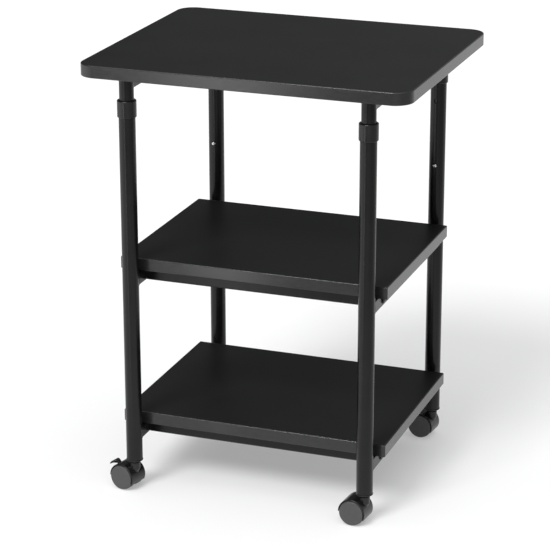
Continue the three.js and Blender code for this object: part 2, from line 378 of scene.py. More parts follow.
def zinc_material():
    """Zinc plate: bright, faintly blue here and yellow there, with fine drawing marks."""
    n = Nodes("zinc")
    marks = n.noise(1500.0, 3.0, 0.6, n.stretched((1.0, 1.0, 0.2)))
    tint = n.noise(140.0, 2.0, 0.5)
    colour = n.blend(n.between(tint, 0, 1), (0.68, 0.69, 0.72), (0.78, 0.76, 0.7))
    roughness = n.between(marks, 0.2, 0.36)
    normal = n.bump(marks, 0.12, 0.04)
    return n.finish(colour, roughness, normal, Metallic=1.0)


MATERIALS = {
    "board_laminate": laminate_material(),
    "edge_band": band_material(),
    "powder_coat": coat_material(),
    "moulded_plastic": plastic_material(),
    "wheel_plastic": wheel_material(),
    "zinc": zinc_material(),
}

# ---------------------------------------------------------------- boards

WIDE_CORNER = 10
WIDE_CORNER_STEPS = 16
SMALL_CORNER_STEPS = 4
LEAST_CORNER = 0.3


def rectangle_loop(bm, centre, width, depth, radius, height, steps):
    """Vertices round a rectangle with rounded corners, all in millimetres but the centre."""
    ring = []
    for quarter, (sx, sy) in enumerate([(1, -1), (1, 1), (-1, 1), (-1, -1)]):
        x = sx * (width / 2 - radius)
        y = sy * (depth / 2 - radius)
        for step in range(steps + 1):
            turn = math.pi / 2 * (quarter - 1 + step / steps)
            at = Vector((x + radius * math.cos(turn), y + radius * math.sin(turn), height)) * MM
            ring.append(bm.verts.new(at + centre))
    return ring


def add_board(name, corner_radius):
    """A laminated board, and the band round its edge with a hairline seam between them."""
    low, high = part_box(f"{name}_edge_band")
    centre = Vector(((low.x + high.x) / 2, (low.y + high.y) / 2, 0))
    width, depth = (high.x - low.x) / MM, (high.y - low.y) / MM
    under, upper = low.z / MM, high.z / MM
    steps = WIDE_CORNER_STEPS if corner_radius > WIDE_CORNER else SMALL_CORNER_STEPS

    def loop(bm, inset, height):
        radius = max(corner_radius - inset, LEAST_CORNER)
        return rectangle_loop(bm, centre, width - 2 * inset, depth - 2 * inset, radius, height, steps)

    core = BAND_THICKNESS + BAND_SEAM
    r = LAMINATE_ROUND
    bm = bmesh.new()
    path = [(core + r, under), (core, under + r), (core, upper - r), (core + r, upper)]
    skin(bm, [loop(bm, inset, height) for inset, height in path])
    stand_in(new_object(f"{name}_laminate", bm), "board_laminate", f"{name}_board")

    section = ease(
        [
            (0, under, BAND_ROUND),
            (0, upper, BAND_ROUND),
            (BAND_THICKNESS, upper, LAMINATE_ROUND),
            (BAND_THICKNESS, under, LAMINATE_ROUND),
        ]
    )
    bm = bmesh.new()
    skin(bm, [loop(bm, inset, height) for inset, height in section], closed=True)
    stand_in(new_object(f"{name}_banding", bm), "edge_band", f"{name}_edge_band")


# ---------------------------------------------------------------- rails

FLAT_STEPS = 8
BEAD_RADIUS = 1.1
BEAD_RIPPLE = 0.13
RIPPLE_LENGTH = 2.4
BEAD_STEP = 0.6
BEAD_SIDES = 8


def rail_section(width, height, radius):
    """Points round a rounded rectangle, with the flats divided so that an end can be shaped to a tube."""
    corners = ease(
        [
            (-width / 2, -height / 2, radius),
            (width / 2, -height / 2, radius),
            (width / 2, height / 2, radius),
            (-width / 2, height / 2, radius),
        ]
    )
    points = []
    for i, here in enumerate(corners):
        ahead = corners[(i + 1) % len(corners)]
        points.append(here)
        long_side = math.dist(here, ahead) > 2 * radius
        for step in range(1, FLAT_STEPS if long_side else 1):
            share = step / FLAT_STEPS
            points.append(tuple(a + (b - a) * share for a, b in zip(here, ahead)))
    return points


def add_rail(node, along, tube_radius=0.0, tube_reach=0.0):
    """A square tube along X or Y. With a tube radius its ends fit round tubes at +-tube_reach."""
    low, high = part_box(node)
    middle = (low + high) / 2
    across = 1 - along
    width = (high[across] - low[across]) / MM
    height = (high.z - low.z) / MM
    outer = rail_section(width, height, RAIL_CORNER)
    inner = rail_section(width - 2 * RAIL_WALL, height - 2 * RAIL_WALL, RAIL_CORNER - RAIL_WALL)

    def reach(offset, end):
        if not tube_radius:
            return (high[along] if end > 0 else low[along]) / MM
        return end * (tube_reach - math.sqrt(tube_radius**2 - offset**2))

    def loop(bm, section, end):
        ring = []
        for a, b in section:
            at = Vector((0, 0, middle.z + b * MM))
            at[across] = middle[across] + a * MM
            at[along] = reach(a, end) * MM
            ring.append(bm.verts.new(at))
        return ring

    bm = bmesh.new()
    loops = [loop(bm, outer, -1), loop(bm, outer, 1), loop(bm, inner, 1), loop(bm, inner, -1)]
    skin(bm, loops, closed=True)
    stand_in(new_object(f"{node}_tube", bm), "powder_coat", node)
    if tube_radius:
        for end in (-1, 1):
            edge = [
                Vector((middle.x + a * MM, reach(a, end) * MM, middle.z + b * MM)) for a, b in outer
            ]
            add_weld(f"{node}_weld_{'rear' if end > 0 else 'front'}", edge, BODY_OF[node])


def add_weld(name, corners, body):
    """A rippled bead along a closed line of points."""
    around = corners + corners[:1]
    lengths = [0.0]
    for a, b in zip(around, around[1:]):
        lengths.append(lengths[-1] + (b - a).length)
    count = round(lengths[-1] / (BEAD_STEP * MM))
    points = []
    k = 0
    for i in range(count):
        s = lengths[-1] * i / count
        while lengths[k + 1] < s:
            k += 1
        share = (s - lengths[k]) / max(lengths[k + 1] - lengths[k], 1e-9)
        points.append(around[k].lerp(around[k + 1], share))
    ripples = round(lengths[-1] / (RIPPLE_LENGTH * MM))
    bm = bmesh.new()
    loops = []
    for i, point in enumerate(points):
        forward = (points[(i + 1) % count] - points[i - 1]).normalized()
        side = forward.cross(Vector((0, 1, 0))).normalized()
        lift = side.cross(forward)
        swell = 1 + BEAD_RIPPLE * math.sin(2 * math.pi * ripples * i / count)
        radius = BEAD_RADIUS * swell * MM
        turns = [2 * math.pi * j / BEAD_SIDES for j in range(BEAD_SIDES)]
        spokes = [side * math.cos(t) + lift * math.sin(t) for t in turns]
        loops.append([bm.verts.new(point + spoke * radius) for spoke in spokes])
    skin(bm, loops, closed=True)
    dress(new_object(name, bm), "powder_coat", body)


# ---------------------------------------------------------------- legs

HOLE_COLUMNS = 5  # columns each side of a hole that its patch of wall takes up
PATCH_START = math.radians(-135)  # where a patch's border starts, seen from outside: lower left
EASE_SHARE = 0.3  # how far along an eased edge its middle ring lies
WALL_TOLERANCE = 0.02
WALL_FACING = 0.97
COLLAR_GRIP = 0.1
COLLAR_SLIP = 0.2
COLLAR_SEAT = 0.1
CLIP_ABOVE_BUTTON = 5.0
CLIP_BELOW_BUTTON = 3.0
CLIP_FRONT = 8.7
CLIP_BEND = 6.8
CLIP_BEND_STEPS = 12
CLIP_LEAF = 0.8
CLIP_WIDTH = 6.0
BUTTON_RADIUS = 3.0
BUTTON_DOME = 0.45
BUTTON_ROUND = 1.8
STEM_RADIUS = 4.0
STEM_SHOULDER = 5.5
STEM_TIP = 1.0
STEM_FOOT_GAP = 0.6
STEM_GROOVE = [(0.0, 6.0), (0.6, 5.4), (0.6, 4.0), (0.0, 3.4)]  # depth, and distance under the top
SHOULDER_THICKNESS = 2.3
SHOULDER_GAP = 0.3
SOCKET_FLANGE = 1.7
SOCKET_SLIP = 0.2
SOCKET_FIT = 0.2

# From an outline to a clip standing in its tube: the outline's axes go along Y and up.
UPRIGHT = Matrix(((0, 0, 1, 0), (1, 0, 0, 0), (0, 1, 0, 0), (0, 0, 0, 1)))


def tube_point(radius, x, height):
    """The point of a tube's +Y side at a distance across and a height."""
    return Vector((x, math.sqrt(radius**2 - x**2), height)) * MM


def hole_patch(bm, radius, sign, rows, height):
    """Fills the wall round one hole. Returns the vertices round its throat, and those at its sides."""
    k = HOLE_COLUMNS
    below, above = rows
    columns = range(-k, k + 1)
    half = radius * math.sin(2 * math.pi * k / TUBE_SEGMENTS)
    levels = [height + half * (2 * i / (2 * k) - 1) for i in range(1, 2 * k)]
    right = [bm.verts.new(tube_point(radius, half, z)) for z in levels]
    left = [bm.verts.new(tube_point(radius, -half, z)) for z in levels]
    border = [below[j % TUBE_SEGMENTS] for j in columns] + right
    border += [above[j % TUBE_SEGMENTS] for j in reversed(columns)] + left[::-1]
    loops = [border]
    count = len(border)
    soft = HOLE_EASE * EASE_SHARE
    for spread, depth in ((HOLE_EASE, 0.0), (soft, soft), (0.0, HOLE_EASE)):
        ring = []
        for i in range(count):
            turn = PATCH_START + 2 * math.pi * i / count
            x = (HOLE_RADIUS + spread) * math.cos(turn)
            z = height + (HOLE_RADIUS + spread) * math.sin(turn)
            ring.append(bm.verts.new(tube_point(radius - sign * depth, x, z)))
        loops.append(ring)
    skin(bm, loops, caps=False)
    return loops[-1], left, right


def drilled_tube(radius, bore, low, high, heights):
    """A round tube along Z, with holes through its +Y side at the given heights."""
    bm = bmesh.new()
    e = TUBE_EASE
    k = HOLE_COLUMNS

    def ring(r, z):
        verts = []
        for j in range(TUBE_SEGMENTS):
            turn = 2 * math.pi * j / TUBE_SEGMENTS
            verts.append(bm.verts.new((r * math.sin(turn) * MM, r * math.cos(turn) * MM, z * MM)))
        return verts

    def wall(r, ascending):
        half = r * math.sin(2 * math.pi * k / TUBE_SEGMENTS)
        rows = [(ring(r, low + e), None)]
        for z in heights:
            rows += [(ring(r, z - half), z), (ring(r, z + half), None)]
        rows.append((ring(r, high - e), None))
        throats = []
        for (below, hole), (above, _) in zip(rows, rows[1:]):
            sides = ([], [])
            if hole is not None:
                throat, left, right = hole_patch(bm, r, 1 if ascending else -1, (below, above), hole)
                throats.append(throat)
                sides = (left, right)
            for j in range(-TUBE_SEGMENTS // 2, TUBE_SEGMENTS // 2):
                if hole is not None and -k <= j < k:
                    continue
                a, b = below[j], below[(j + 1) % TUBE_SEGMENTS]
                c, d = above[(j + 1) % TUBE_SEGMENTS], above[j]
                rising = sides[0] if j == -k - 1 else []
                falling = sides[1][::-1] if j == k else []
                bm.faces.new([a, b, *rising, c, d, *falling])
        return [row for row, _ in rows], throats

    outer, outer_throats = wall(radius, True)
    inner, inner_throats = wall(bore, False)
    soft = e * EASE_SHARE
    for end, z, tip in ((-1, high, high - soft), (0, low, low + soft)):
        loops = [outer[end], ring(radius - soft, tip), ring(radius - e, z)]
        loops += [ring(bore + e, z), ring(bore + soft, tip), inner[end]]
        skin(bm, loops, caps=False)
    for a, b in zip(outer_throats, inner_throats):
        skin(bm, [a, b], caps=False)
    return bm


def shade_round(obj, axis, radii):
    """Truly round shading on a tube's walls, which the wall patches round its holes would disturb."""
    mesh = obj.data
    normals = []
    for polygon in mesh.polygons:
        for index in polygon.vertices:
            spoke = mesh.vertices[index].co - axis
            spoke.z = 0
            facing = polygon.normal.dot(spoke.normalized())
            off_wall = min(abs(spoke.length / MM - radius) for radius in radii)
            if off_wall < WALL_TOLERANCE and abs(facing) > WALL_FACING:
                normals.append(spoke.normalized() * (1 if facing > 0 else -1))
            else:
                normals.append(Vector((0, 0, 0)))
    mesh.normals_split_custom_set(normals)


def collar_profile(low, high, radius, lower_bore, upper_bore, step):
    """(radius, height) outline of a collar that grips one tube up to a step and guides a thinner one."""
    return ease(
        [
            (lower_bore, low, 0.2),
            (radius, low, 1.3),
            (radius, high, 1.5),
            (upper_bore, high, 0.3),
            (upper_bore, step, 0.0),
            (lower_bore, step, 0.0),
        ]
    )


def add_leg(corner):
    """One leg: its two tubes, collar, snap clip, and the foot that takes the caster."""
    low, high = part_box(f"leg_tube_{corner}")
    axis = Vector(((low.x + high.x) / 2, (low.y + high.y) / 2, 0))
    facing = Matrix.Rotation(math.pi if axis.y > 0 else 0, 4, "Z")
    place = Matrix.Translation(axis) @ facing
    leg_radius = (high.x - low.x) / 2 / MM
    upper_low, upper_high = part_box(f"upper_tube_{corner}")
    upper_radius = (upper_high.x - upper_low.x) / 2 / MM
    clip_low, clip_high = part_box(f"snap_clip_{corner}")
    slide = JOINTS["height_slide"]["range_m"][1] / MM
    button = clip_high.z / MM - CLIP_ABOVE_BUTTON

    bore = leg_radius - TUBE_WALL
    tube = drilled_tube(leg_radius, bore, low.z / MM, high.z / MM, [button, button + slide])
    leg = new_object(f"leg_{corner}", tube, place)
    stand_in(leg, "powder_coat", f"leg_tube_{corner}")
    shade_round(leg, axis, (leg_radius, bore))
    bore = upper_radius - UPPER_WALL
    tube = drilled_tube(upper_radius, bore, upper_low.z / MM, upper_high.z / MM, [button])
    upper = new_object(f"upper_leg_{corner}", tube, place)
    stand_in(upper, "powder_coat", f"upper_tube_{corner}")
    shade_round(upper, axis, (upper_radius, bore))

    ring_low, ring_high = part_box(f"collar_{corner}")
    profile = collar_profile(
        ring_low.z / MM,
        ring_high.z / MM,
        (ring_high.x - ring_low.x) / 2 / MM,
        leg_radius + COLLAR_GRIP,
        upper_radius + COLLAR_SLIP,
        high.z / MM + COLLAR_SEAT,
    )
    ring = new_object(f"locking_collar_{corner}", turned(profile, closed=True), place)
    stand_in(ring, "moulded_plastic", f"collar_{corner}")
    crown = max(abs(clip_high.y - axis.y), abs(clip_low.y - axis.y)) / MM
    add_clip(corner, place, button, crown, clip_low.z / MM + CLIP_BEND)
    add_foot(corner, place, leg_radius)


def add_clip(corner, place, height, crown, bend_height):
    """The U-shaped leaf spring in the upper tube, and the domed button on it."""
    middle = CLIP_FRONT - CLIP_BEND
    turns = [math.pi * i / CLIP_BEND_STEPS for i in range(CLIP_BEND_STEPS + 1)]

    def bend(radius):
        return [(middle + radius * math.cos(t), bend_height - radius * math.sin(t)) for t in turns]

    top = height - CLIP_BELOW_BUTTON
    outline = [(CLIP_FRONT, height + CLIP_ABOVE_BUTTON)]
    outline += bend(CLIP_BEND)
    outline += [(middle - CLIP_BEND, top), (middle - CLIP_BEND + CLIP_LEAF, top)]
    outline += bend(CLIP_BEND - CLIP_LEAF)[::-1]
    outline.append((CLIP_FRONT - CLIP_LEAF, height + CLIP_ABOVE_BUTTON))
    strip = prism(outline, -CLIP_WIDTH / 2, CLIP_WIDTH / 2)
    clip = new_object(f"spring_clip_{corner}", strip, place @ UPRIGHT)
    dome = ease(
        [
            (0, CLIP_FRONT - CLIP_LEAF / 2, 0),
            (BUTTON_RADIUS, CLIP_FRONT - CLIP_LEAF / 2, 0),
            (BUTTON_RADIUS, crown - BUTTON_DOME, BUTTON_ROUND),
            (0, crown, 0),
        ],
        closed=False,
    )
    lying = Matrix.Translation((0, 0, height * MM)) @ Matrix.Rotation(-math.pi / 2, 4, "X")
    button = new_object("button", turned(dome, SMALL_SEGMENTS), place @ lying)
    combine(clip, button, "UNION")
    stand_in(clip, "zinc", f"snap_clip_{corner}")


def add_foot(corner, place, leg_radius):
    """The plastic socket in the leg's end and the caster's stem in it."""
    low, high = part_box(f"leg_socket_{corner}")
    under, top = low.z / MM, high.z / MM
    flange = (high.x - low.x) / 2 / MM
    bore = STEM_RADIUS + SOCKET_SLIP
    plug = leg_radius - TUBE_WALL - SOCKET_FIT
    profile = ease(
        [
            (bore, under, 0.3),
            (flange, under, 0.6),
            (flange, under + SOCKET_FLANGE, 0.3),
            (plug, under + SOCKET_FLANGE, 0.0),
            (plug, top, 0.8),
            (bore, top, 0.3),
        ]
    )
    socket = new_object(f"stem_socket_{corner}", turned(profile, closed=True), place)
    stand_in(socket, "moulded_plastic", f"leg_socket_{corner}")
    low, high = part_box(f"caster_stem_{corner}")
    foot, top = low.z / MM + STEM_FOOT_GAP, high.z / MM
    shoulder = under - SHOULDER_GAP
    profile = [
        (0, foot, 0),
        (STEM_RADIUS, foot, 0.3),
        (STEM_RADIUS, shoulder - SHOULDER_THICKNESS, 0.0),
        (STEM_SHOULDER, shoulder - SHOULDER_THICKNESS, 0.4),
        (STEM_SHOULDER, shoulder, 0.4),
        (STEM_RADIUS, shoulder, 0.0),
    ]
    profile += [(STEM_RADIUS - depth, top - down, 0.1) for depth, down in STEM_GROOVE]
    profile += [(STEM_RADIUS, top - STEM_TIP, 0.8), (0, top, 0)]
    stem = turned(ease(profile, closed=False), SMALL_SEGMENTS)
    stand_in(new_object(f"swivel_stem_{corner}", stem, place), "zinc", f"caster_stem_{corner}")


# ---------------------------------------------------------------- casters
# In a caster's own frame Z is the swivel axis, the axle runs along Y and the wheels trail to -X.

AXLE_RADIUS = 3.0
AXLE_SHORTER = 3.5  # how far inside the wheels' faces the axle ends
HOOD_OUTER = 21.6
HOOD_INNER = 20.6
HOOD_HALF_WIDTH = 17.0
HOOD_START = math.radians(-25)
HOOD_END = math.radians(180)
HOOD_SEGMENTS = 72
HOOD_SLIP = 0.3  # room round the axle
WEB_HALF_WIDTH = 6.0
HUB_RADIUS = 6.3
BOSS_RADIUS = 8.5
BOSS_FOOT = 21.0
BOSS_FOOT_RADIUS = 4.0
BOSS_CONE = 11.0
BOSS_BORE = 8.4
BOSS_SLIP = 0.25  # room round the stem
BOSS_RECESS = 2.2
BOSS_RECESS_DEPTH = 0.6
SLOT_WIDTH = 6.8
# The brake lever's slot in the hood, side view: along, up.
SLOT = [(-10, 4.5), (-5.2, 4.8), (-4.6, 9), (-7, 14), (-13, 26), (-40, 26), (-40, -9)]
WHEEL_INNER = 6.4
WHEEL_OUTER = 19.0
WHEEL_SLIP = 0.25
WHEEL_POCKET = 3.2  # thickness of the closed face in front of the axle's end
WHEEL_HUB = (7.2, 7.6)  # outside radius at the hub's end and at the web
WHEEL_RIM = (16.6, 17.0)  # inside radius at the web and at the rim's edge
WEB_DEPTH = 2.4
TREAD_END = 4.4
DISC_STEP = 0.9  # how much smaller the face's disc is than the tread
DISC_BACK = 3.4
DISC_EDGE = 0.6
DISC_CROWN = (2.6, 0.35)  # where the face starts to crown: in from the tread, and back
# Stations of the brake lever from its barrel to its tip: along, up, thickness, width.
LEVER_STATIONS = [
    (-9.0, 9.0, 5.4, 6.0),
    (-11.8, 12.1, 5.2, 6.0),
    (-14.6, 15.2, 5.0, 6.2),
    (-17.4, 17.3, 4.9, 8.4),
    (-20.2, 17.8, 4.7, 12.2),
    (-23.0, 17.2, 4.1, 13.5),
    (-25.8, 15.7, 3.2, 13.6),
    (-28.3, 13.7, 2.2, 13.0),
    (-29.8, 12.7, 1.2, 12.0),
]
LEVER_STEPS = 40
LEVER_EASE = 0.34  # share of the lesser side that its corners are rounded by
BARREL_RADIUS = 3.2
BARREL_HALF = 3.0
PIVOT_RADIUS = 1.5
PIVOT_HALF = 5.8

# From side view to space: X stays, the outline's second axis is up, and the width is across.
SIDEWAYS = Matrix(((1, 0, 0, 0), (0, 0, 1, 0), (0, 1, 0, 0), (0, 0, 0, 1)))


def hood_section(radius, half_width):
    """Closed (radius, along) outline of the hood: a central web under a wide thin shell."""
    bore = AXLE_RADIUS + HOOD_SLIP
    half = [
        (bore, WEB_HALF_WIDTH, 0.0),
        (HOOD_INNER, WEB_HALF_WIDTH, 1.0),
        (HOOD_INNER, half_width, 0.25),
        (radius, half_width, 0.75),
    ]
    mirrored = [(r, -a, e) for r, a, e in reversed(half)]
    return ease(half + mirrored)


def add_hood(corner, place, axle, braked):
    """The caster's body: a shell over both wheels, a hub on the axle and a boss round the stem."""
    node = f"caster_hood_{corner}"
    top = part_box(node)[1].z / MM
    at_axle = place @ Matrix.Translation(axle)
    section = hood_section(HOOD_OUTER, HOOD_HALF_WIDTH)
    shell = turned_sector(section, HOOD_START, HOOD_END, HOOD_SEGMENTS)
    hood = new_object(f"hood_{corner}", shell, at_axle @ SIDEWAYS)
    bore = AXLE_RADIUS + HOOD_SLIP
    hub_profile = [(bore, -WEB_HALF_WIDTH), (HUB_RADIUS, -WEB_HALF_WIDTH)]
    hub_profile += [(HUB_RADIUS, WEB_HALF_WIDTH), (bore, WEB_HALF_WIDTH)]
    hub = new_object("hub", turned(hub_profile, HUB_SEGMENTS, closed=True), at_axle @ SIDEWAYS)
    combine(hood, hub, "UNION")
    hole = STEM_RADIUS + BOSS_SLIP
    boss_profile = ease(
        [
            (0, top - BOSS_FOOT, 0),
            (BOSS_FOOT_RADIUS, top - BOSS_FOOT, 0.5),
            (BOSS_RADIUS, top - BOSS_CONE, 2.5),
            (BOSS_RADIUS, top, 0.9),
            (hole + BOSS_RECESS, top, 0.3),
            (hole + BOSS_RECESS, top - BOSS_RECESS_DEPTH, 0.2),
            (hole, top - BOSS_RECESS_DEPTH, 0.2),
            (hole, top - BOSS_BORE, 0.0),
            (0, top - BOSS_BORE, 0),
        ],
        closed=False,
    )
    boss = new_object("boss", turned(boss_profile), place)
    combine(hood, boss, "UNION")
    if braked:
        slot = new_object("slot", prism(SLOT, -SLOT_WIDTH / 2, SLOT_WIDTH / 2), at_axle @ SIDEWAYS)
        combine(hood, slot, "DIFFERENCE")
    stand_in(hood, "moulded_plastic", node)


def wheel_profile(radius):
    """(radius, along) outline of one wheel, from its inner hub round the tread to its closed face."""
    bore = AXLE_RADIUS + WHEEL_SLIP
    inner, outer = WHEEL_INNER, WHEEL_OUTER
    crown_in, crown_back = DISC_CROWN
    return ease(
        [
            (0, outer - WHEEL_POCKET, 0),
            (bore, outer - WHEEL_POCKET, 0),
            (bore, inner, 0.2),
            (WHEEL_HUB[0], inner, 0.3),
            (WHEEL_HUB[1], inner + WEB_DEPTH, 0.4),
            (WHEEL_RIM[0], inner + WEB_DEPTH, 0.4),
            (WHEEL_RIM[1], inner, 0.3),
            (radius, inner, 0.8),
            (radius, outer - TREAD_END, 0.5),
            (radius - DISC_STEP, outer - DISC_BACK, 0.5),
            (radius - DISC_STEP, outer - DISC_EDGE, 0.9),
            (radius - crown_in, outer - crown_back, 0.5),
            (0, outer, 0),
        ],
        closed=False,
    )


def add_wheel(corner, side, place, axle):
    facing = Matrix.Rotation(math.pi if side == "near" else 0, 4, "Z")
    lying = Matrix.Rotation(-math.pi / 2, 4, "X")
    spot = place @ Matrix.Translation(axle) @ facing @ lying
    rim = turned(wheel_profile(axle.z / MM), WHEEL_SEGMENTS)
    wheel = new_object(f"wheel_{corner}_{side}", rim, spot)
    stand_in(wheel, "wheel_plastic", f"caster_wheel_{corner}_{side}")


def smooth_line(values, share):
    """Catmull-Rom through equally spaced values, at a share of the whole way."""
    spot = share * (len(values) - 1)
    i = min(int(spot), len(values) - 2)
    t = spot - i
    a, b = values[max(i - 1, 0)], values[i]
    c, d = values[i + 1], values[min(i + 2, len(values) - 1)]
    curve = 2 * b + (c - a) * t + (2 * a - 5 * b + 4 * c - d) * t**2 + (3 * b - a - 3 * c + d) * t**3
    return curve / 2


def add_lever(corner, place, axle):
    """The brake lever: an arm in the hood's slot that widens to a curled pedal, on a barrel."""
    columns = list(zip(*LEVER_STATIONS))
    stations = []
    for i in range(LEVER_STEPS + 1):
        stations.append([smooth_line(column, i / LEVER_STEPS) for column in columns])
    bm = bmesh.new()
    loops = []
    for i, (x, z, thickness, width) in enumerate(stations):
        after, before = stations[min(i + 1, LEVER_STEPS)], stations[max(i - 1, 0)]
        forward = Vector((after[0] - before[0], after[1] - before[1])).normalized()
        normal = Vector((forward.y, -forward.x))
        radius = min(thickness, width) * LEVER_EASE
        section = ease(
            [
                (-width / 2, -thickness / 2, radius),
                (width / 2, -thickness / 2, radius),
                (width / 2, thickness / 2, radius),
                (-width / 2, thickness / 2, radius),
            ]
        )
        ring = [Vector((x + normal.x * b, a, z + normal.y * b)) * MM for a, b in section]
        loops.append([bm.verts.new(point) for point in ring])
    skin(bm, loops)
    at_axle = place @ Matrix.Translation(axle)
    lever = new_object(f"foot_brake_{corner}", bm, at_axle)
    barrel_profile = ease(
        [
            (0, -PIVOT_HALF, 0),
            (PIVOT_RADIUS, -PIVOT_HALF, 0.2),
            (PIVOT_RADIUS, -BARREL_HALF, 0.0),
            (BARREL_RADIUS, -BARREL_HALF, 0.4),
            (BARREL_RADIUS, BARREL_HALF, 0.4),
            (PIVOT_RADIUS, BARREL_HALF, 0.0),
            (PIVOT_RADIUS, PIVOT_HALF, 0.2),
            (0, PIVOT_HALF, 0),
        ],
        closed=False,
    )
    pivot = Matrix.Translation(Vector((LEVER_STATIONS[0][0], 0, LEVER_STATIONS[0][1])) * MM)
    pin = turned(barrel_profile, SMALL_SEGMENTS)
    barrel = new_object("barrel", pin, at_axle @ pivot @ SIDEWAYS)
    combine(lever, barrel, "UNION")
    stand_in(lever, "moulded_plastic", f"brake_lever_{corner}")


def add_caster(corner):
    """One caster under its leg, turned round its stem as its axle's joint says."""
    roll = JOINTS[f"roll_{corner}_near"]
    swivel = JOINTS[f"swivel_{corner}"]
    turn = math.atan2(-roll["axis"][0], roll["axis"][1])
    centre = Vector(swivel["pos_m"])
    centre.z = 0
    place = Matrix.Translation(centre) @ Matrix.Rotation(turn, 4, "Z")
    axle = place.inverted() @ Vector(roll["pos_m"])
    axle.y = 0
    braked = f"brake_lever_{corner}" in BODY_OF
    add_hood(corner, place, axle, braked)
    reach = WHEEL_OUTER - AXLE_SHORTER
    profile = ease(
        [
            (0, -reach, 0),
            (AXLE_RADIUS, -reach, 0.4),
            (AXLE_RADIUS, reach, 0.4),
            (0, reach, 0),
        ],
        closed=False,
    )
    lying = place @ Matrix.Translation(axle) @ SIDEWAYS
    pin = new_object(f"axle_{corner}", turned(profile, SMALL_SEGMENTS), lying)
    stand_in(pin, "zinc", f"caster_axle_{corner}")
    for side in ("near", "far"):
        add_wheel(corner, side, place, axle)
    if braked:
        add_lever(corner, place, axle)


# ---------------------------------------------------------------- fasteners

SCREW_RADIUS = 4.0
SCREW_HEIGHT = 2.4
CROSS_REACH = 2.0
CROSS_ARM = 0.5
CROSS_DEPTH = 1.2
SCREW_TURN = 0.6  # radians that the first screw's cross is turned, and each next one further
SCREW_TURN_STEP = 1.1
SHELF_SCREWS = (-95, 95)
TOP_SCREWS = (-130, 0, 130)
BOLT_RADIUS = 5.2
BOLT_HEIGHT = 3.0
HEX_RADIUS = 2.3
HEX_DEPTH = 1.5
HEX_DIVISIONS = 4
WASHER_RADIUS = 6.2
WASHER_THICKNESS = 0.9
HEAD_CURVE = 0.72
HEAD_EDGE = 0.3
HEAD_FOOT = 0.15
HEAD_RINGS = (0.985, 0.93, 0.84, 0.72)  # shares of the head's radius, from its edge inwards
RECESS_RIM = 1.06
RECESS_TAPER = 0.86


def recessed_head(radius, height, recess, depth):
    """A domed head on Z = 0 with a recess of the given outline in its crown, closed underneath."""
    bm = bmesh.new()
    wide = max(math.hypot(*p) for p in recess)

    def crown(r):
        return height * math.sqrt(max(1 - HEAD_CURVE * (r / radius) ** 2, 0))

    def circle(r, z):
        ring = []
        for x, y in recess:
            turn = math.atan2(y, x)
            ring.append(bm.verts.new((r * math.cos(turn) * MM, r * math.sin(turn) * MM, z * MM)))
        return ring

    def recess_loop(taper, z):
        return [bm.verts.new((x * MM * taper, y * MM * taper, z * MM)) for x, y in recess]

    loops = [circle(radius * 0.96, 0), circle(radius, HEAD_FOOT)]
    loops.append(circle(radius, crown(radius) - HEAD_EDGE))
    for share in HEAD_RINGS:
        drop = HEAD_EDGE * (share - HEAD_RINGS[-1])
        loops.append(circle(radius * share, crown(radius * share) - drop))
    loops.append(circle(wide * RECESS_RIM, crown(wide)))
    loops.append(recess_loop(1, crown(wide)))
    loops.append(recess_loop(RECESS_TAPER, crown(wide) - depth))
    skin(bm, loops)
    return bm


def cross_recess(reach, arm):
    """A cross outline of 12 corners, with each side divided in two."""
    corners = []
    for quarter in range(4):
        turn = Matrix.Rotation(math.pi / 2 * quarter, 2)
        corners += [turn @ Vector(p) for p in ((arm, -arm), (reach, -arm), (reach, arm))]
    points = []
    for i, here in enumerate(corners):
        points += [tuple(here), tuple((here + corners[(i + 1) % len(corners)]) / 2)]
    return points


def hexagon(radius):
    """A hexagon outline with each side divided."""
    turns = [math.pi / 3 * i for i in range(7)]
    corners = [Vector((radius * math.cos(turn), radius * math.sin(turn))) for turn in turns]
    points = []
    for a, b in zip(corners, corners[1:]):
        points += [tuple(a.lerp(b, k / HEX_DIVISIONS)) for k in range(HEX_DIVISIONS)]
    return points


def add_screws(rail, body, spots):
    """Pan-head screws under a side rail that hold its board."""
    low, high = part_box(rail)
    x = (low.x + high.x) / 2
    cross = cross_recess(CROSS_REACH, CROSS_ARM)
    for i, y in enumerate(spots):
        head = recessed_head(SCREW_RADIUS, SCREW_HEIGHT, cross, CROSS_DEPTH)
        turn = Matrix.Rotation(SCREW_TURN + SCREW_TURN_STEP * i, 4, "Z")
        flip = Matrix.Rotation(math.pi, 4, "X") @ turn
        place = Matrix.Translation((x, y * MM, low.z)) @ flip
        dress(new_object(f"{rail}_screw_{i + 1}", head, place), "zinc", body)


def add_bolts(shelf):
    """Button-head bolts on washers, through each side rail into the ends of the cross rails."""
    washer = ease(
        [
            (0, 0, 0),
            (WASHER_RADIUS, 0, 0.1),
            (WASHER_RADIUS, WASHER_THICKNESS, 0.25),
            (0, WASHER_THICKNESS, 0),
        ],
        closed=False,
    )
    head_height = BOLT_HEIGHT - WASHER_THICKNESS
    lift = Matrix.Translation((0, 0, WASHER_THICKNESS * MM))
    for side, sign in (("left", -1), ("right", 1)):
        low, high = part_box(f"{shelf}_rail_{side}")
        face = high.x if sign > 0 else low.x
        for end in ("front", "rear"):
            cross_low, cross_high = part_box(f"{shelf}_rail_{end}")
            spot = (face, (cross_low.y + cross_high.y) / 2, (low.z + high.z) / 2)
            outward = Matrix.Rotation(sign * math.pi / 2, 4, "Y")
            place = Matrix.Translation(spot) @ outward
            name = f"{shelf}_bolt_{end}_{side}"
            ring = turned(washer, HUB_SEGMENTS)
            dress(new_object(f"{name}_washer", ring, place), "powder_coat", "frame")
            head = recessed_head(BOLT_RADIUS, head_height, hexagon(HEX_RADIUS), HEX_DEPTH)
            dress(new_object(name, head, place @ lift), "powder_coat", "frame")


# ---------------------------------------------------------------- assembly

